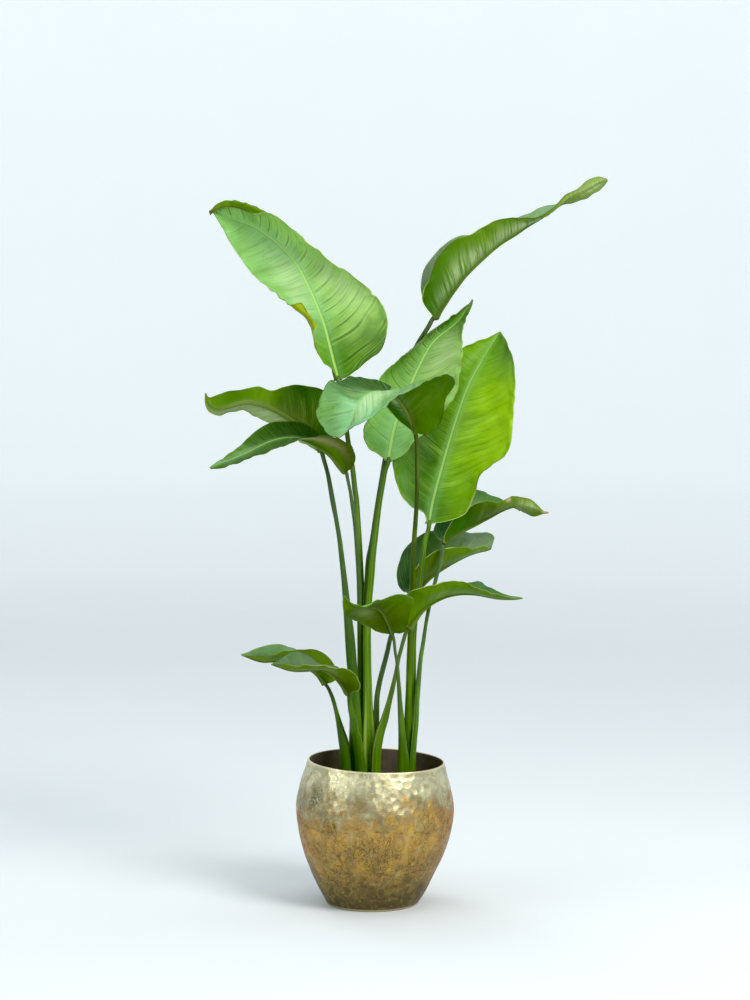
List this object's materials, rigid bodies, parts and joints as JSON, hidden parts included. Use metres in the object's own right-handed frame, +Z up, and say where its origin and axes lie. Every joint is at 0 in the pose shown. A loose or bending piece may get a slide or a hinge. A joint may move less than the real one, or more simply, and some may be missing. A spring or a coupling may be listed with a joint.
{
  "type": "potted plant",
  "caption": "Tall bird of paradise plant with broad paddle leaves on long arching stalks, growing from a nursery pot of soil inside a hammered metal pot",
  "frame": {"origin": "middle of the flat underside of the metal pot, on the floor", "axes": "+Z up along the plant, +X to the right and -Y towards the viewer in the usual front view"},
  "size_m": [0.5544, 0.3266, 1.004],
  "materials": {
    "metal": "hammered, aged champagne brass, dark in the dimples and brown towards the sides",
    "plastic": "black moulded nursery pot, matte",
    "soil": "dark brown potting soil, crumbly and dry on top",
    "rhizome": "fibrous brown-green crown, dull",
    "blade": "waxy green leaf, semi-gloss above, duller olive below",
    "stalk": "smooth waxy green leaf stalk, semi-gloss"
  },
  "bodies": {
    "root": {"decorative_pot": "metal", "nursery_pot": "plastic", "soil": "soil", "rhizome_left": "rhizome", "rhizome_right": "rhizome", "blade_top_left": "blade", "stalk_top_left": "stalk", "blade_top_right": "blade", "stalk_top_right": "stalk", "blade_centre": "blade", "stalk_centre": "stalk", "blade_right_large": "blade", "stalk_right_large": "stalk", "blade_front_folded": "blade", "stalk_front_folded": "stalk", "blade_left_upper": "blade", "stalk_left_upper": "stalk", "blade_left_lower": "blade", "stalk_left_lower": "stalk", "blade_right_upper": "blade", "stalk_right_upper": "stalk", "blade_right_back": "blade", "stalk_right_back": "stalk", "blade_low_front": "blade", "stalk_low_front": "stalk", "blade_low_right": "blade", "stalk_low_right": "stalk", "blade_small_back": "blade", "stalk_small_back": "stalk", "blade_small_front": "blade", "stalk_small_front": "stalk"}
  },
  "joints": []
}
